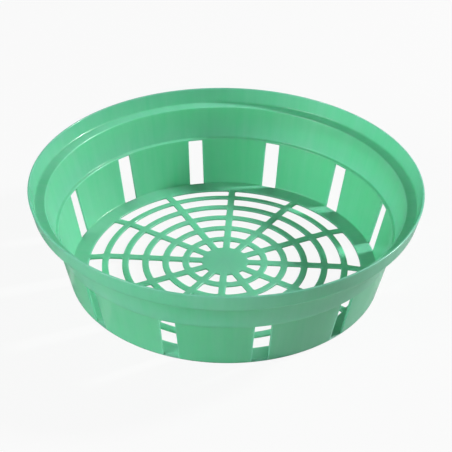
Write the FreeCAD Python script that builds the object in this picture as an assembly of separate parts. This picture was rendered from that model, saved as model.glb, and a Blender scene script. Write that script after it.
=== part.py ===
import FreeCAD, Part
import math
import os

# Round planting basket for flower bulbs, moulded in one piece from polypropylene.
# Millimetres, +Z up. The origin is the centre of the underside, on the plane the basket stands on.

# Wall, from the foot up: each stretch leans outwards by its draft, in degrees from upright
WALL = 1.4
FOOT_RADIUS = 106.0
LOWER_WALL_HEIGHT = 34.8
LOWER_WALL_DRAFT = 12.4
STEP_WIDTH = 0.5
UPPER_WALL_HEIGHT = 22.7
UPPER_WALL_DRAFT = 16.6
LEDGE_WIDTH = 6.4
RIM_HEIGHT = 12.0
RIM_DRAFT = 12.4

# Bevels that break the edges of the wall's section, measured along both sides of the corner
LIP_BEVEL = 0.4
LEDGE_BEVEL = 0.9
FOOT_BEVEL = 0.8

# Floor: a level border that the basket stands on, and a grid raised from it, which slopes down to the
# border from the inner edge of the outermost ring
FLOOR_THICKNESS = 1.6
GRID_RISE = 1.6
BORDER_WIDTH = 12.5
HUB_RADIUS = 15.8
GATE_RADIUS = 2.5
GATE_DEPTH = 0.5

# Grid of spokes and rings. The openings beside the hub and the border have their own lengths
SPOKES = 12
SPOKE_WIDTH = 4.8
RINGS = 5
RING_WIDTH = 4.5
HUB_OPENING = 9.1
BORDER_OPENING = 9.0

# Upright slots in the wall, each halfway between two spokes. The top and the sill slope down to the outside
SLOT_WIDTH = 10.5
SLOT_BELOW_STEP = 0.6
SLOT_TOP_SLOPE = 40
SILL_WIDTH = 1.6
SILL_EDGE = 0.5

# Distance that a cutter passes beyond the material that it cuts
OVERRUN = 2.0

AXIS = FreeCAD.Vector(0, 0, 1)
CENTRE = FreeCAD.Vector(0, 0, 0)


def point(radius, height):
    """Point of the basket's section, in the plane of the X and Z axes."""
    return FreeCAD.Vector(radius, 0, height)


def wall_stretches():
    """Each straight stretch of the wall: its outer radius at the bottom, bottom height, top height and lean."""
    stretches = []
    radius = FOOT_RADIUS
    height = 0
    for ledge, rise, draft in (
        (0, LOWER_WALL_HEIGHT, LOWER_WALL_DRAFT),
        (STEP_WIDTH, UPPER_WALL_HEIGHT, UPPER_WALL_DRAFT),
        (LEDGE_WIDTH, RIM_HEIGHT, RIM_DRAFT),
    ):
        radius += ledge
        lean = math.radians(draft)
        stretches.append((radius, height, height + rise, lean))
        radius += rise * math.tan(lean)
        height += rise
    return stretches


def outer_corners():
    """Corners of the outer skin, from the foot to the lip."""
    corners = []
    for radius, bottom, top, lean in wall_stretches():
        corners.append(point(radius, bottom))
        corners.append(point(radius + (top - bottom) * math.tan(lean), top))
    return corners


def inner_corners():
    """Corners of the inner skin, from the floor to the lip, one wall thickness inside the outer skin."""
    corners = []
    stretches = wall_stretches()
    for radius, bottom, top, lean in stretches:
        start = FLOOR_THICKNESS if bottom == 0 else bottom + WALL
        end = top if top == stretches[-1][2] else top + WALL
        for height in (start, end):
            inner_radius = radius - WALL / math.cos(lean) + (height - bottom) * math.tan(lean)
            corners.append(point(inner_radius, height))
    return corners


def bevelled(before, corner, after, bevel):
    """The two points that replace a corner whose edge is broken by a bevel."""
    back = (before - corner).normalize()
    ahead = (after - corner).normalize()
    return [corner + back * bevel, corner + ahead * bevel]


def section():
    """Half section of the wall and floor, from the axis to the lip and back."""
    foot, step_under, step_edge, ledge_under, ledge_edge, lip_outside = outer_corners()
    floor_corner, step_inside, step_top, ledge_inside, ledge_corner, lip_inside = inner_corners()
    underside = [point(0, GRID_RISE), point(last_ring_radius(), GRID_RISE), point(border_inner_radius(), 0)]
    outside = bevelled(underside[-1], foot, step_under, FOOT_BEVEL)
    outside += [step_under, step_edge, ledge_under]
    outside += bevelled(ledge_under, ledge_edge, lip_outside, LEDGE_BEVEL)
    lip = bevelled(ledge_edge, lip_outside, lip_inside, LIP_BEVEL)
    lip += bevelled(lip_outside, lip_inside, ledge_corner, LIP_BEVEL)
    inside = [ledge_corner]
    inside += bevelled(ledge_corner, ledge_inside, step_top, LEDGE_BEVEL)
    inside += [step_top, step_inside, floor_corner]
    floor_top = [point(p.x, p.z + FLOOR_THICKNESS) for p in reversed(underside)]
    outline = underside + outside + lip + inside + floor_top
    return Part.Face(Part.makePolygon(outline + outline[:1]))


def border_inner_radius():
    """Radius at which the level border ends and the grid begins."""
    return FOOT_RADIUS - BORDER_WIDTH


def last_ring_radius():
    """Inner radius of the outermost ring."""
    return border_inner_radius() - BORDER_OPENING - RING_WIDTH


def opening_radii():
    """Inner and outer radius of each row of floor openings, from the hub outwards."""
    first_ring = HUB_RADIUS + HUB_OPENING
    pitch = (last_ring_radius() - first_ring) / (RINGS - 1)
    rings = [first_ring + i * pitch for i in range(RINGS)]
    starts = [HUB_RADIUS] + [ring + RING_WIDTH for ring in rings]
    ends = rings + [border_inner_radius()]
    return list(zip(starts, ends))


def floor_opening(inner, outer):
    """Cutter for one floor opening, between two neighbouring spokes of constant width."""
    half_pitch = math.pi / SPOKES

    def corner(radius, side):
        angle = side * (half_pitch - math.asin(SPOKE_WIDTH / 2 / radius))
        return FreeCAD.Vector(radius * math.cos(angle), radius * math.sin(angle), -OVERRUN)

    def arc(radius):
        middle = FreeCAD.Vector(radius, 0, -OVERRUN)
        return Part.Arc(corner(radius, -1), middle, corner(radius, 1)).toShape()

    sides = [Part.makeLine(corner(inner, side), corner(outer, side)) for side in (-1, 1)]
    outline = Part.Wire([arc(inner), sides[1], arc(outer), sides[0]])
    height = FLOOR_THICKNESS + GRID_RISE + 2 * OVERRUN
    return Part.Face(outline).extrude(AXIS * height)


def wall_slot():
    """Cutter for one upright slot, with parallel sides and with a top and a sill that slope down outwards."""
    step = outer_corners()[1]
    outside = step.x + OVERRUN
    sill_start = FOOT_RADIUS - SILL_WIDTH
    sill_fall = (FLOOR_THICKNESS - SILL_EDGE) / SILL_WIDTH
    top_fall = math.tan(math.radians(SLOT_TOP_SLOPE))
    top = step.z - SLOT_BELOW_STEP
    outline = [
        point(sill_start, FLOOR_THICKNESS),
        point(outside, SILL_EDGE - sill_fall * (outside - FOOT_RADIUS)),
        point(outside, top - top_fall * (outside - step.x)),
        point(sill_start, top + top_fall * (step.x - sill_start)),
    ]
    cutter = Part.Face(Part.makePolygon(outline + outline[:1])).extrude(FreeCAD.Vector(0, SLOT_WIDTH, 0))
    cutter.translate(FreeCAD.Vector(0, -SLOT_WIDTH / 2, 0))
    return cutter


def between_spokes(cutter):
    """Copies of a cutter that lies along the X axis, one halfway between each two spokes."""
    copies = []
    for i in range(SPOKES):
        copy = cutter.copy()
        copy.rotate(CENTRE, AXIS, (i + 0.5) * 360 / SPOKES)
        copies.append(copy)
    return copies


def gate_recess():
    """Cutter for the small round recess that the moulding gate leaves in the middle of the underside."""
    return Part.makeCylinder(GATE_RADIUS, GRID_RISE + GATE_DEPTH)


def basket():
    """The whole basket."""
    cutters = [gate_recess()]
    for inner, outer in opening_radii():
        cutters += between_spokes(floor_opening(inner, outer))
    cutters += between_spokes(wall_slot())
    shell = section().revolve(CENTRE, AXIS, 360)
    return shell.cut(cutters).Solids[0]


os.makedirs("parts", exist_ok=True)
basket().exportStep("parts/basket.step")
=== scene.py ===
import math
from collections import namedtuple

import bmesh
import bpy
from mathutils import Matrix, Vector


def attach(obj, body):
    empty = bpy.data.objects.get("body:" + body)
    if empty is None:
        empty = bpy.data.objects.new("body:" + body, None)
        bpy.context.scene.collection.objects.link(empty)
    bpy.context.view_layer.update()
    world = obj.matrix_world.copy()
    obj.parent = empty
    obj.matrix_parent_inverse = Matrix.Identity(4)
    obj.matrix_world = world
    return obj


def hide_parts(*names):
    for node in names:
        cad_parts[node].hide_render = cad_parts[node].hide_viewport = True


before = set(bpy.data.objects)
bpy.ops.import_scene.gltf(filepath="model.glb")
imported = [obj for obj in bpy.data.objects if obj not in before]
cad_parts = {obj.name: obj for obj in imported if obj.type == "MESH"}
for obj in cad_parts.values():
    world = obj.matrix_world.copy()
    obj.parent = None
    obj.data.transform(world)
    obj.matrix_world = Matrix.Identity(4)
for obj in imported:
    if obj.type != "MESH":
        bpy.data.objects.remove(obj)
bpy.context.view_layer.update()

# Round planting basket of translucent green plastic, on a pale floor in soft studio light.
# Lengths are millimetres until a mesh or a place is written, which MM turns into metres.
MM = 0.001

# Wall, as in the construction: width of the ledge below each stretch, its rise, and its lean in radians
WALL = 1.4
FOOT_RADIUS = 106.0
LOWER_WALL = (0.0, 34.8, math.radians(12.4))
UPPER_WALL = (0.5, 22.7, math.radians(16.6))
RIM_BAND = (6.4, 12.0, math.radians(12.4))

# Rounded corners of the wall's section
FOOT_ROUND = 1.6
FLOOR_ROUND = 1.0
STEP_ROUND = 0.15
STEP_OVERHANG = 0.2
STEP_HOLLOW = 0.9
STEP_EDGE_ROUND = 0.8
LEDGE_ROUND = 1.1
LEDGE_EDGE_ROUND = 1.0
LEDGE_HOLLOW = 1.5
RIM_HOLLOW = 1.4
LIP_ROUND = 0.6

# Radius and height of the inner skin's corners at the two steps, whose treads are wider than outside
INNER_LEDGE_EDGE = (119.1, 58.75)
INNER_STEP_HOLLOW = (113.75, 36.6)
INNER_STEP_EDGE = (111.75, 36.2)

# Floor: a level border and a raised grid, which slopes down to it from the outermost ring's inner edge
FLOOR_THICKNESS = 1.6
GRID_RISE = 1.6
BORDER_INNER = 93.5

# Hub, with the small round recess of the moulding gate in the middle of its underside
HUB_RADIUS = 15.8
GATE_RADIUS = 2.5
GATE_DEPTH = 0.5
GATE_MARGIN = 0.2
GATE_EDGE = 0.1
GATE_CORNER = 0.3

# Grid of spokes and rings
SPOKES = 12
SPOKE_WIDTH = 4.8
RINGS = 5
RING_WIDTH = 4.5
HUB_OPENING = 9.1
BORDER_OPENING = 9.0
OPENING_CORNER = 1.1
EDGE_ROUND = 0.5

# Upright slots, whose top and sill slope down to the outside. Their rounded edge fades at the sill, where
# only a share of it is left on each skin
SLOT_WIDTH = 10.5
SLOT_TOP_OUTSIDE = 34.2
SLOT_TOP_INSIDE = 35.2
SLOT_CORNER = 0.2
SLOT_EDGE_ROUND = 0.25
SILL_START = 104.4
SILL_EDGE = 0.5
SILL_ROUND_OUTSIDE = 0.5
SILL_ROUND_INSIDE = 0.1

# How finely a sector is divided: columns of vertices round the axis, and steps round corners and edges
PANEL_COLUMNS = 8
SLOT_COLUMNS = 4
COLUMNS = 2 * PANEL_COLUMNS + SLOT_COLUMNS
SIDE_STEPS = 4
CORNER_STEPS = 4
SLOT_CORNER_STEPS = 2
ROUND_STEPS = 3
ARC_STEP = math.radians(18)
LEAST_ARC_STEPS = 2

# Rows of vertices on the wall: on the border, beside a slot, and on each stretch between two rounded
# corners from the outer step over the lip to the inner step
BORDER_ROWS = 3
SLOT_ROWS = 8
STRETCH_ROWS = (0, 5, 2, 3, 0, 3, 2, 5, 0)

# Distances that keep the rows and columns clear of a slot's edge
SLOT_MARGIN = 0.35
ROW_GAP = 0.1

# Widths of the border and the hub that belong to the cells round the openings, and the hub's own rings
BORDER_IN_CELLS = 3.2
HUB_IN_CELLS = 2.3
HUB_TOP_RINGS = (10.5, 7.0, 3.5)
HUB_UNDER_RING = 8.0

HALF_SECTOR = math.pi / SPOKES
LAST_RING = BORDER_INNER - BORDER_OPENING - RING_WIDTH
CELL_EDGE = BORDER_INNER + BORDER_IN_CELLS
HUB_EDGE = HUB_RADIUS - HUB_IN_CELLS

# Vertices nearer than this are one, and how strongly large faces bend the shading of small ones
WELD = 0.004
NORMAL_WEIGHT = 60

# Limits of the searches along a path
NEAR = 1e-9
HALVINGS = 50

# Plastic: its two tints, and the range of its roughness under a smooth gloss
GREEN_DEEP = (0.165, 0.88, 0.453, 1.0)
GREEN_PALE = (0.349, 0.943, 0.605, 1.0)
ROUGHNESS = (0.34, 0.52)
REFRACTION = 1.49
GLOSS = 0.8
GLOSS_ROUGHNESS = 0.15
SCATTER = (1.0, 1.0, 1.0)
SCATTER_METRES = 0.004

# How often the marks in the plastic repeat: flow marks in a radian round the axis and in a metre up the wall,
# and rings, clouds and grain in a metre
FLOW_ROUND = 19.0
FLOW_UP = 15.0
TURNING_SCALE = 700.0
CLOUD_SCALE = 18.0
GRAIN_SCALE = 900.0

# Shares of the marks in tint, roughness and relief, and the span of noise that roughness follows
FLOW_IN_TINT = 0.7
TURNING_IN_ROUGHNESS = 0.5
NOISE_SPAN = (0.2, 0.8)
FLOW_RELIEF = 8.0
GRAIN_RELIEF = 0.5
RELIEF_STRENGTH = 0.5
RELIEF_METRES = 0.00001

# Floor and surroundings. The floor is nearly white to the camera and keeps a share of its own shading
WHITE = (1.0, 1.0, 1.0, 1.0)
FLOOR_TONE = (0.65, 0.65, 0.65, 1.0)
FLOOR_WHITENESS = 0.92
FLOOR_HALF = 6000
FLOOR_DROP = 0.2
SURROUNDINGS = 0.04

# Lamps: name, azimuth and elevation in degrees, distance and size in metres, and power in watts
LAMPS = (
    ("key", 22, 35, 1.6, 0.22, 18.9),
    ("front", -140, 35, 1.8, 0.7, 8.9),
    ("low", -150, 12, 1.8, 0.7, 6.1),
)
LAMP_AIM = 30

# Camera at the photograph's viewing angle: distances in millimetres, angles in degrees
PICTURE = 452
FOCAL_PIXELS = 1208.1
CENTRE_X = 227.49
CENTRE_Y = 229.45
CAMERA_OFFSET = (-1.81, 23.96, 834.50)
CAMERA_ELEVATION = 33.91
CAMERA_ROLL = 1.09
CAMERA_TURN = 2.63
SENSOR = 36.0
CLIP_METRES = (0.01, 50)


def turned(arrow, angle):
    """Plane vector turned by an angle."""
    cos, sin = math.cos(angle), math.sin(angle)
    return Vector((arrow.x * cos - arrow.y * sin, arrow.x * sin + arrow.y * cos))


def between(start, end, count):
    """Evenly spaced values inside a span, without its ends."""
    return [start + (end - start) * (i + 1) / (count + 1) for i in range(count)]


# Pieces of a path, each with the length along the path at which it begins, and its own length
Line = namedtuple("Line", "first length start direction")
Arc = namedtuple("Arc", "first length centre spoke turn")


class Section:
    """Lines and arcs through rounded corners, in the plane of radius and height, measured by length."""

    def __init__(self, corners):
        self.pieces = []
        self.length = 0.0
        start = Vector(corners[0][:2])
        for before, corner, after in zip(corners, corners[1:], corners[2:]):
            place = Vector(corner[:2])
            back = (Vector(before[:2]) - place).normalized()
            ahead = (Vector(after[:2]) - place).normalized()
            radius = corner[2]
            half = back.angle(ahead) / 2
            reach = radius / math.tan(half)
            centre = place + (back + ahead).normalized() * (radius / math.sin(half))
            arc_start = place + back * reach
            self.add_line(start, arc_start)
            turn = math.atan2(back.y * ahead.x - back.x * ahead.y, -back.dot(ahead))
            self.add_arc(centre, arc_start, turn)
            start = place + ahead * reach
        self.add_line(start, Vector(corners[-1][:2]))

    def add_line(self, start, end):
        length = (end - start).length
        self.pieces.append(Line(self.length, length, start, (end - start) / length))
        self.length += length

    def add_arc(self, centre, start, turn):
        spoke = start - centre
        length = abs(turn) * spoke.length
        self.pieces.append(Arc(self.length, length, centre, spoke, turn))
        self.length += length

    def at(self, s, inset=0.0):
        """Radius and height at a length along the path, moved under the surface by an inset."""
        for piece in self.pieces:
            if s <= piece.first + piece.length + NEAR:
                break
        along = s - piece.first
        if isinstance(piece, Line):
            place = piece.start + piece.direction * along
            tangent = piece.direction
        else:
            spoke = turned(piece.spoke, piece.turn * along / piece.length)
            place = piece.centre + spoke
            tangent = turned(spoke.normalized(), math.copysign(math.pi / 2, piece.turn))
        normal = Vector((tangent.y, -tangent.x))
        return place - normal * inset

    def length_at_height(self, first, last, level):
        """Length along the path, inside a span, at which the path has a height."""
        rising = self.at(last).y > self.at(first).y
        for _ in range(HALVINGS):
            middle = (first + last) / 2
            if (self.at(middle).y < level) == rising:
                first = middle
            else:
                last = middle
        return first

    def arc_stops(self):
        """Lengths at which each arc is divided, its two ends among them."""
        stops = []
        for arc in self.pieces:
            if isinstance(arc, Arc):
                steps = max(LEAST_ARC_STEPS, math.ceil(abs(arc.turn) / ARC_STEP))
                stops.append([arc.first + arc.length * i / steps for i in range(steps + 1)])
        return stops

    def line_spans(self):
        """Lengths at which each line starts and ends."""
        return [(line.first, line.first + line.length) for line in self.pieces if isinstance(line, Line)]


def wall_section():
    """Path of the wall's two skins, from the underside over the lip to the floor."""
    outer = []
    radius = FOOT_RADIUS
    height = 0.0
    for ledge, rise, lean in (LOWER_WALL, UPPER_WALL, RIM_BAND):
        radius += ledge
        outer.append((radius, height, lean))
        radius += rise * math.tan(lean)
        height += rise
        outer.append((radius, height, lean))

    def inner(corner, level):
        lean = corner[2]
        return corner[0] - WALL / math.cos(lean) + (level - corner[1]) * math.tan(lean), level

    foot, step_under, step_edge, ledge_under, ledge_edge, lip = outer
    ledge_top = ledge_edge[1] + WALL
    return Section(
        [
            (CELL_EDGE, 0.0),
            (*foot[:2], FOOT_ROUND),
            (step_under[0] - STEP_OVERHANG, step_under[1], STEP_ROUND),
            (step_edge[0] + STEP_OVERHANG, step_edge[1], STEP_ROUND),
            (*ledge_under[:2], LEDGE_HOLLOW),
            (*ledge_edge[:2], LEDGE_ROUND),
            (*lip[:2], LIP_ROUND),
            (*inner(lip, lip[1]), LIP_ROUND),
            (*inner(ledge_edge, ledge_top), RIM_HOLLOW),
            (*INNER_LEDGE_EDGE, LEDGE_EDGE_ROUND),
            (*INNER_STEP_HOLLOW, STEP_HOLLOW),
            (*INNER_STEP_EDGE, STEP_EDGE_ROUND),
            (*inner(foot, FLOOR_THICKNESS), FLOOR_ROUND),
            (CELL_EDGE, FLOOR_THICKNESS),
        ]
    )


class Shell:
    """Vertices and faces of one sector, which is turned about the axis for the rest."""

    def __init__(self):
        self.places = []
        self.faces = []

    def vertex(self, x, y, z):
        self.places.append((x * MM, y * MM, z * MM))
        return len(self.places) - 1

    def ring(self, radius, angles, height):
        """Vertices at some angles on a level circle."""
        return [self.vertex(radius * math.cos(angle), radius * math.sin(angle), height) for angle in angles]

    def strip(self, first, second, closed=True):
        """Faces between two lines of vertices. A repeated vertex makes a triangle."""
        count = len(first)
        for i in range(count if closed else count - 1):
            j = (i + 1) % count
            corners = [first[i], first[j], second[j], second[i]]
            kept = [c for k, c in enumerate(corners) if c != corners[k - 1]]
            if len(kept) > 2:
                self.faces.append(kept)

    def strips(self, lines, closed=True):
        """Faces between each line of vertices and the next."""
        for first, second in zip(lines, lines[1:]):
            self.strip(first, second, closed)


def column_angles(radius):
    """Angles of a sector's columns on a circle that meets the slots, from spoke to spoke."""
    edge = math.asin((SLOT_WIDTH / 2 + SLOT_MARGIN) / radius)
    panel = [-HALF_SECTOR + (HALF_SECTOR - edge) * i / PANEL_COLUMNS for i in range(PANEL_COLUMNS)]
    slot = [-edge + 2 * edge * i / SLOT_COLUMNS for i in range(SLOT_COLUMNS + 1)]
    return panel + slot + [-angle for angle in reversed(panel)]


def even_angles():
    """Angles of a sector's columns on a circle of the grid."""
    return [HALF_SECTOR * (2 * i / COLUMNS - 1) for i in range(COLUMNS + 1)]


def rounding(radius):
    """Steps round an edge from the surface into the opening: distances outside the opening and below."""
    turns = [math.pi / 2 * i / ROUND_STEPS for i in range(ROUND_STEPS + 1)]
    return [((1 - math.sin(turn)) * radius, (1 - math.cos(turn)) * radius) for turn in turns]


# A slot on one skin: path lengths of its bottom and top, rows of vertices beside it from the top down,
# direction of the path up the wall, and the share of the rounded edge that is left at the sill
Slot = namedtuple("Slot", "bottom top rows up sill_round")


def wall_slots(path):
    """The slot on the outer and on the inner skin, with equally many rows beside it."""
    foot, *_, floor_corner = path.arc_stops()
    _, outside, *_, inside, floor = path.line_spans()
    outer_bottom = path.length_at_height(foot[0], foot[-1], SILL_EDGE)
    outer_top = path.length_at_height(*outside, SLOT_TOP_OUTSIDE)
    inner_top = path.length_at_height(*inside, SLOT_TOP_INSIDE)
    inner_bottom = floor[0] + (path.at(floor[0]).x - SILL_START)

    keep_off = SLOT_CORNER + ROW_GAP
    outer_rows = [s for s in foot if s > outer_bottom + keep_off]
    outer_rows += between(foot[-1], outer_top - keep_off, SLOT_ROWS)
    missing = len(outer_rows) - len(floor_corner)
    inner_rows = between(inner_top + keep_off, floor_corner[0], missing) + floor_corner
    return (
        Slot(outer_bottom, outer_top, outer_rows[::-1], 1, SILL_ROUND_OUTSIDE),
        Slot(inner_bottom, inner_top, inner_rows, -1, SILL_ROUND_INSIDE),
    )


def slot_loop(shell, path, slot, grow, inset):
    """Vertices round a slot's edge on one skin, grown outwards and moved under the surface."""
    half = SLOT_WIDTH / 2
    inside = half - SLOT_CORNER
    radius = SLOT_CORNER + grow
    loop = []

    def put(y, s, share):
        place = path.at(s, inset * share)
        loop.append(shell.vertex(math.sqrt(place.x**2 - y**2), y, place.y))

    def corner(side, level, outward, turns, shares):
        for turn, share in zip(turns, shares):
            y = side * (inside + radius * math.sin(turn))
            put(y, level + slot.up * outward * (radius * math.cos(turn) - SLOT_CORNER), share)

    quarter = [math.pi / 2 * i / SLOT_CORNER_STEPS for i in range(1, SLOT_CORNER_STEPS)]
    even = [1.0] * len(quarter)
    fading = [1 + (slot.sill_round - 1) * math.cos(turn) for turn in quarter]
    across = [inside * (2 * i / SLOT_COLUMNS - 1) for i in range(SLOT_COLUMNS + 1)]
    for y in across:
        put(y, slot.top + slot.up * grow, 1.0)
    corner(1, slot.top, 1, quarter, even)
    sides = [slot.top - slot.up * SLOT_CORNER] + slot.rows + [slot.bottom + slot.up * SLOT_CORNER]
    for s in sides:
        put(half + grow, s, 1.0)
    corner(1, slot.bottom, -1, quarter[::-1], fading[::-1])
    for y in across:
        put(-y, slot.bottom - slot.up * grow, slot.sill_round)
    corner(-1, slot.bottom, -1, quarter, fading)
    for s in reversed(sides):
        put(-half - grow, s, 1.0)
    corner(-1, slot.top, 1, quarter[::-1], even)
    return loop


def slot_frame(grid, bottom, top):
    """Grid vertices round a slot, with its corners repeated so that they match the slot's loops."""
    left = PANEL_COLUMNS
    right = PANEL_COLUMNS + SLOT_COLUMNS
    step = 1 if bottom > top else -1
    rows = list(range(top, bottom + step, step))
    repeat = SLOT_CORNER_STEPS - 1
    loop = [grid[top][j] for j in range(left, right + 1)]
    loop += [grid[top][right]] * repeat
    loop += [grid[i][right] for i in rows]
    loop += [grid[bottom][right]] * repeat
    loop += [grid[bottom][j] for j in range(right, left - 1, -1)]
    loop += [grid[bottom][left]] * repeat
    loop += [grid[i][left] for i in reversed(rows)]
    loop += [grid[top][left]] * repeat
    return loop


def wall_rows(path, outer, inner):
    """Path lengths of the wall's rows, and on each skin the numbers of the rows under and over its slot."""
    foot, *corners, _ = path.arc_stops()
    rows = [0.0] + between(0.0, foot[0], BORDER_ROWS) + [foot[0]]
    rows += [s for s in foot[1:] if s < outer.bottom - SLOT_MARGIN - ROW_GAP]
    outer_under = len(rows)
    rows += [outer.bottom - SLOT_MARGIN, *reversed(outer.rows), outer.top + SLOT_MARGIN]
    outer_over = len(rows) - 1
    rows += corners[0]
    for before, after, count in zip(corners, corners[1:], STRETCH_ROWS):
        rows += between(before[-1], after[0], count) + after
    inner_over = len(rows)
    rows += [inner.top - SLOT_MARGIN, *inner.rows, inner.bottom + SLOT_MARGIN]
    inner_under = len(rows) - 1
    rows += between(rows[-1], path.length, BORDER_ROWS) + [path.length]
    return rows, (outer_under, outer_over), (inner_under, inner_over)


def add_wall(shell):
    """Both skins of the wall with their slots, from the grid's edge on the underside to that on the floor."""
    path = wall_section()
    outer, inner = wall_slots(path)
    rows, outer_frame, inner_frame = wall_rows(path, outer, inner)
    grid = []
    for s in rows:
        radius, height = path.at(s)
        grid.append(shell.ring(radius, column_angles(radius), height))
    for i, pair in enumerate(zip(grid, grid[1:])):
        beside_slot = any(min(ends) <= i < max(ends) for ends in (outer_frame, inner_frame))
        if beside_slot:
            shell.strips([line[: PANEL_COLUMNS + 1] for line in pair], closed=False)
            shell.strips([line[-PANEL_COLUMNS - 1 :] for line in pair], closed=False)
        else:
            shell.strips(pair, closed=False)

    steps = rounding(SLOT_EDGE_ROUND)
    loops = [slot_frame(grid, *outer_frame)]
    loops += [slot_loop(shell, path, outer, *step) for step in steps]
    loops += [slot_loop(shell, path, inner, *step) for step in reversed(steps)]
    loops.append(slot_frame(grid, *inner_frame))
    shell.strips(loops)


def floor_height(radius):
    """Height of the floor's underside at a radius."""
    share = (BORDER_INNER - radius) / (BORDER_INNER - LAST_RING)
    return GRID_RISE * min(1.0, max(0.0, share))


def opening_spans():
    """Inner and outer radius of each row of floor openings, from the hub outwards."""
    first_ring = HUB_RADIUS + HUB_OPENING
    pitch = (LAST_RING - first_ring) / (RINGS - 1)
    rings = [first_ring + i * pitch for i in range(RINGS)]
    return list(zip([HUB_RADIUS] + [ring + RING_WIDTH for ring in rings], rings + [BORDER_INNER]))


def circle_points(ring, angles):
    """Points at some angles on a circle."""
    return [(ring * math.cos(angle), ring * math.sin(angle)) for angle in angles]


def side_points(start, end):
    """Points along a straight side, its two ends among them."""
    return [tuple(a + (b - a) * i / SIDE_STEPS for a, b in zip(start, end)) for i in range(SIDE_STEPS + 1)]


def mirrored(points):
    """The same side of an outline on the other half of the sector."""
    return [(x, -y) for x, y in reversed(points)]


def opening_outline(inner, outer, grow):
    """Outline of one floor opening, grown outwards, as points with rounded corners."""
    radius = OPENING_CORNER + grow
    clear = SPOKE_WIDTH / 2 + OPENING_CORNER

    def corner_angle(ring):
        return HALF_SECTOR - math.asin(clear / ring)

    def corner(ring, first, last):
        angle = corner_angle(ring)
        turns = [first + (last - first) * i / CORNER_STEPS for i in range(CORNER_STEPS + 1)]
        x, y = ring * math.cos(angle), ring * math.sin(angle)
        return [(x + radius * math.cos(turn), y + radius * math.sin(turn)) for turn in turns]

    def arc(ring, angle):
        return circle_points(ring, [angle * (2 * i / COLUMNS - 1) for i in range(COLUMNS + 1)])

    across = HALF_SECTOR + math.pi / 2
    outer_ring, inner_ring = outer - OPENING_CORNER, inner + OPENING_CORNER
    outer_angle, inner_angle = corner_angle(outer_ring), corner_angle(inner_ring)
    outer_corner = corner(outer_ring, outer_angle, across)
    inner_corner = corner(inner_ring, across, inner_angle + math.pi)
    half = outer_corner[1:-1] + side_points(outer_corner[-1], inner_corner[0]) + inner_corner[1:-1]
    return arc(outer + grow, outer_angle) + half + arc(inner - grow, inner_angle)[::-1] + mirrored(half)


def cell_outline(inner, outer, inner_angles, outer_angles):
    """Outline of the cell round one opening, from mid-spoke to mid-spoke, to match the opening's outline."""
    outer_arc = circle_points(outer, outer_angles)
    inner_arc = circle_points(inner, inner_angles)
    repeat = CORNER_STEPS - 1
    half = [outer_arc[-1]] * repeat + side_points(outer_arc[-1], inner_arc[-1]) + [inner_arc[-1]] * repeat
    return outer_arc + half + inner_arc[::-1] + mirrored(half)


def add_loop(shell, outline, above):
    """Vertices along an outline, at a distance above the floor's underside. Repeats share a vertex."""
    loop = []
    for i, (x, y) in enumerate(outline):
        if i and outline[i - 1] == (x, y):
            loop.append(loop[-1])
        else:
            loop.append(shell.vertex(x, y, floor_height(math.hypot(x, y)) + above))
    if outline[0] == outline[-1]:
        loop[-1] = loop[0]
    return loop


def add_grid(shell):
    """Openings of one sector, each with its half of the spokes and rings round it."""
    spans = opening_spans()
    edges = [HUB_EDGE] + [(a[1] + b[0]) / 2 for a, b in zip(spans, spans[1:])] + [CELL_EDGE]
    for i, (inner, outer) in enumerate(spans):
        outer_angles = column_angles(CELL_EDGE) if i == len(spans) - 1 else even_angles()
        cell = cell_outline(edges[i], edges[i + 1], even_angles(), outer_angles)
        steps = [(opening_outline(inner, outer, grow), inset) for grow, inset in rounding(EDGE_ROUND)]
        loops = [add_loop(shell, cell, FLOOR_THICKNESS)]
        loops += [add_loop(shell, outline, FLOOR_THICKNESS - inset) for outline, inset in steps]
        loops += [add_loop(shell, outline, inset) for outline, inset in reversed(steps)]
        loops.append(add_loop(shell, cell, 0.0))
        shell.strips(loops)


def add_hub(shell):
    """Hub's wedge of one sector: its plain top, and its underside with the gate recess."""
    top = GRID_RISE + FLOOR_THICKNESS
    recess = GRID_RISE + GATE_DEPTH
    upper = [(radius, top) for radius in (HUB_EDGE, *HUB_TOP_RINGS, 0.0)]
    lower = [
        (HUB_EDGE, GRID_RISE),
        (HUB_UNDER_RING, GRID_RISE),
        (GATE_RADIUS + GATE_MARGIN, GRID_RISE),
        (GATE_RADIUS, GRID_RISE + GATE_EDGE),
        (GATE_RADIUS - GATE_EDGE, recess - GATE_EDGE),
        (GATE_RADIUS - GATE_CORNER, recess),
        (0.0, recess),
    ]
    for section in (upper, lower):
        *rings, (_, centre_height) = section
        lines = [shell.ring(radius, even_angles(), height) for radius, height in rings]
        lines.append([shell.vertex(0, 0, centre_height)] * (COLUMNS + 1))
        shell.strips(lines, closed=False)


def basket_mesh():
    """One sector, turned about the axis for each space between two spokes, and closed along its seams."""
    sector = Shell()
    add_wall(sector)
    add_grid(sector)
    add_hub(sector)
    places = []
    faces = []
    for i in range(SPOKES):
        turn = Matrix.Rotation((2 * i + 1) * HALF_SECTOR, 3, "Z")
        offset = len(places)
        places += [turn @ Vector(place) for place in sector.places]
        faces += [[corner + offset for corner in face] for face in sector.faces]
    mesh = bpy.data.meshes.new("basket_moulding")
    mesh.from_pydata(places, [], faces)
    work = bmesh.new()
    work.from_mesh(mesh)
    bmesh.ops.delete(work, geom=[vert for vert in work.verts if not vert.link_faces])
    bmesh.ops.remove_doubles(work, verts=work.verts, dist=WELD * MM)
    bmesh.ops.recalc_face_normals(work, faces=work.faces)
    for face in work.faces:
        face.smooth = True
    work.to_mesh(mesh)
    work.free()
    return mesh


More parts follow.
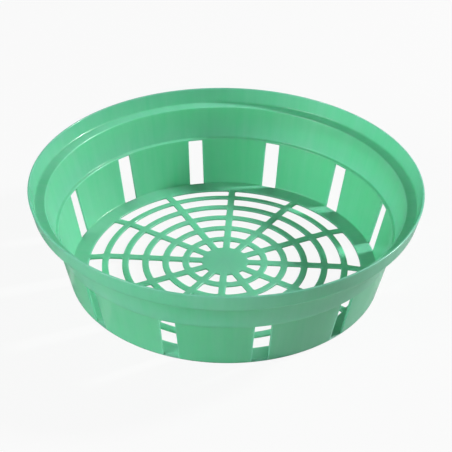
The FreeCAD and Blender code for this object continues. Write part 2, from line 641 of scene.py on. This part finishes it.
def build_basket():
    """The basket, shaded so that its flat faces stay flat beside their rounded edges."""
    basket = bpy.data.objects.new("basket_moulding", basket_mesh())
    bpy.context.scene.collection.objects.link(basket)
    weighted = basket.modifiers.new("weighted_normals", "WEIGHTED_NORMAL")
    weighted.weight = NORMAL_WEIGHT
    bpy.context.view_layer.objects.active = basket
    bpy.ops.object.modifier_apply(modifier=weighted.name)
    return basket


class Nodes:
    """Shorthand for building a node tree."""

    def __init__(self, tree):
        self.tree = tree
        tree.nodes.clear()

    def add(self, kind, inputs=None, **settings):
        """A node, with values or sockets for its inputs and values for its settings."""
        node = self.tree.nodes.new(kind)
        for name, value in settings.items():
            setattr(node, name, value)
        for name, value in (inputs or {}).items():
            if isinstance(value, bpy.types.NodeSocket):
                self.tree.links.new(value, node.inputs[name])
            else:
                node.inputs[name].default_value = value
        return node

    def math(self, operation, first, second):
        return self.add("ShaderNodeMath", {0: first, 1: second}, operation=operation).outputs[0]

    def mixed(self, first, second, share):
        return self.add("ShaderNodeMix", {0: share, 2: first, 3: second}).outputs[0]

    def vector(self, operation, first, second):
        return self.add("ShaderNodeVectorMath", {0: first, 1: second}, operation=operation).outputs[0]

    def scaled(self, vector, scale):
        inputs = {0: vector, "Scale": scale}
        return self.add("ShaderNodeVectorMath", inputs, operation="SCALE").outputs[0]

    def noise(self, place, scale, detail, roughness):
        inputs = {"Vector": place, "Scale": scale, "Detail": detail, "Roughness": roughness}
        return self.add("ShaderNodeTexNoise", inputs).outputs["Fac"]

    def shader(self, kind, **inputs):
        return self.add(kind, inputs).outputs[0]

    def by_ray(self, other_rays, camera_rays):
        """One shader for the camera's own rays, and another for all the rest."""
        share = self.add("ShaderNodeLightPath").outputs["Is Camera Ray"]
        return self.add("ShaderNodeMixShader", {0: share, 1: other_rays, 2: camera_rays}).outputs[0]


def plastic():
    """Translucent green polypropylene, with the marks that the mould leaves on it."""
    material = bpy.data.materials.new("basket_plastic")
    material.use_nodes = True
    nodes = Nodes(material.node_tree)
    place = nodes.add("ShaderNodeTexCoord").outputs["Object"]
    level = nodes.vector("MULTIPLY", place, (0.0, 0.0, 1.0))
    flat = nodes.vector("MULTIPLY", place, (1.0, 1.0, 0.0))
    around = nodes.add("ShaderNodeVectorMath", {0: flat}, operation="NORMALIZE").outputs[0]
    radius = nodes.add("ShaderNodeVectorMath", {0: flat}, operation="LENGTH").outputs["Value"]
    height = nodes.add("ShaderNodeSeparateXYZ", {0: place}).outputs["Z"]

    # Flow marks run away from the gate: narrow round the axis, long up the wall
    flow_place = nodes.vector("ADD", nodes.scaled(around, FLOW_ROUND), nodes.scaled(level, FLOW_UP))
    flow = nodes.noise(flow_place, 1.0, detail=3.0, roughness=0.6)
    # Turning marks of the mould are fine rings, at one height on the wall or one radius on the floor
    ring_place = nodes.add("ShaderNodeCombineXYZ", {2: nodes.math("ADD", height, radius)}).outputs[0]
    turning = nodes.noise(ring_place, TURNING_SCALE, detail=3.0, roughness=0.6)
    cloud = nodes.noise(place, CLOUD_SCALE, detail=3.0, roughness=0.5)
    grain = nodes.noise(place, GRAIN_SCALE, detail=2.0, roughness=0.6)

    tint = nodes.add(
        "ShaderNodeMix",
        {0: nodes.mixed(cloud, flow, FLOW_IN_TINT), 6: GREEN_DEEP, 7: GREEN_PALE},
        data_type="RGBA",
    ).outputs[2]
    marks = nodes.math("ADD", nodes.math("MULTIPLY", flow, FLOW_RELIEF), turning)
    relief = nodes.math("ADD", marks, nodes.math("MULTIPLY", grain, GRAIN_RELIEF))
    bump = nodes.add(
        "ShaderNodeBump", {"Strength": RELIEF_STRENGTH, "Distance": RELIEF_METRES, "Height": relief}
    )
    rough = nodes.add(
        "ShaderNodeMapRange",
        {
            "Value": nodes.mixed(flow, turning, TURNING_IN_ROUGHNESS),
            "From Min": NOISE_SPAN[0],
            "From Max": NOISE_SPAN[1],
            "To Min": ROUGHNESS[0],
            "To Max": ROUGHNESS[1],
        },
    )
    shader = nodes.add(
        "ShaderNodeBsdfPrincipled",
        {
            "Base Color": tint,
            "Roughness": rough.outputs["Result"],
            "Normal": bump.outputs["Normal"],
            "IOR": REFRACTION,
            "Coat Weight": GLOSS,
            "Coat Roughness": GLOSS_ROUGHNESS,
            "Coat IOR": REFRACTION,
            "Subsurface Weight": 1.0,
            "Subsurface Radius": SCATTER,
            "Subsurface Scale": SCATTER_METRES,
        },
        subsurface_method="RANDOM_WALK",
    )
    nodes.add("ShaderNodeOutputMaterial", {"Surface": shader.outputs[0]})
    return material


def floor_material():
    """Pale floor that looks white to the camera and still shows the shadow."""
    material = bpy.data.materials.new("floor")
    material.use_nodes = True
    nodes = Nodes(material.node_tree)
    diffuse = nodes.shader("ShaderNodeBsdfDiffuse", Color=FLOOR_TONE)
    white = nodes.shader("ShaderNodeEmission", Color=WHITE, Strength=1.0)
    shown = nodes.add("ShaderNodeMixShader", {0: FLOOR_WHITENESS, 1: diffuse, 2: white}).outputs[0]
    nodes.add("ShaderNodeOutputMaterial", {"Surface": nodes.by_ray(diffuse, shown)})
    return material


def add_floor():
    """Plain floor under the basket."""
    half = FLOOR_HALF * MM
    corners = [(-half, -half, 0), (half, -half, 0), (half, half, 0), (-half, half, 0)]
    mesh = bpy.data.meshes.new("floor")
    mesh.from_pydata(corners, [], [(0, 1, 2, 3)])
    floor = bpy.data.objects.new("floor", mesh)
    floor.location.z = -FLOOR_DROP * MM
    bpy.context.scene.collection.objects.link(floor)
    mesh.materials.append(floor_material())


def add_world():
    """Even white surroundings, which give little light."""
    world = bpy.data.worlds.new("studio")
    world.use_nodes = True
    bpy.context.scene.world = world
    nodes = Nodes(world.node_tree)
    soft = nodes.shader("ShaderNodeBackground", Color=WHITE, Strength=SURROUNDINGS)
    white = nodes.shader("ShaderNodeBackground", Color=WHITE, Strength=1.0)
    nodes.add("ShaderNodeOutputWorld", {"Surface": nodes.by_ray(soft, white)})


def add_lamp(name, azimuth, elevation, distance, size, power):
    """Round soft lamp that faces the basket from a direction given in degrees."""
    turn = math.radians(azimuth)
    lift = math.radians(elevation)
    away = Vector((math.cos(turn) * math.cos(lift), math.sin(turn) * math.cos(lift), math.sin(lift)))
    lamp = bpy.data.lights.new(name, "AREA")
    lamp.shape = "DISK"
    lamp.size = size
    lamp.energy = power
    holder = bpy.data.objects.new(name, lamp)
    holder.location = Vector((0, 0, LAMP_AIM * MM)) + away * distance
    holder.rotation_euler = away.to_track_quat("Z", "Y").to_euler()
    bpy.context.scene.collection.objects.link(holder)


def add_camera():
    """Camera of the photograph."""
    lift = math.radians(CAMERA_ELEVATION)
    right = Vector((1, 0, 0))
    forward = Vector((0, math.cos(lift), -math.sin(lift)))
    down = forward.cross(right)
    roll = math.radians(CAMERA_ROLL)
    tilted_right = right * math.cos(roll) - down * math.sin(roll)
    tilted_down = right * math.sin(roll) + down * math.cos(roll)
    turn = Matrix.Rotation(math.radians(CAMERA_TURN), 3, "Z")
    axes = [turn @ tilted_right, turn @ tilted_down, turn @ forward]
    place = -sum((axis * offset for axis, offset in zip(axes, CAMERA_OFFSET)), Vector())
    data = bpy.data.cameras.new("camera")
    data.sensor_width = SENSOR
    data.lens = SENSOR * FOCAL_PIXELS / PICTURE
    data.shift_x = (PICTURE / 2 - CENTRE_X) / PICTURE
    data.shift_y = (CENTRE_Y - PICTURE / 2) / PICTURE
    data.clip_start, data.clip_end = CLIP_METRES
    camera = bpy.data.objects.new("camera", data)
    facing = Matrix((axes[0], -axes[1], -axes[2])).transposed().to_4x4()
    camera.matrix_world = Matrix.Translation(place * MM) @ facing
    bpy.context.scene.collection.objects.link(camera)
    bpy.context.scene.camera = camera


basket = build_basket()
basket.data.materials.append(plastic())
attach(basket, "root")
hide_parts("basket")

add_floor()
add_world()
for lamp in LAMPS:
    add_lamp(*lamp)
add_camera()
bpy.context.scene.view_settings.view_transform = "Standard"
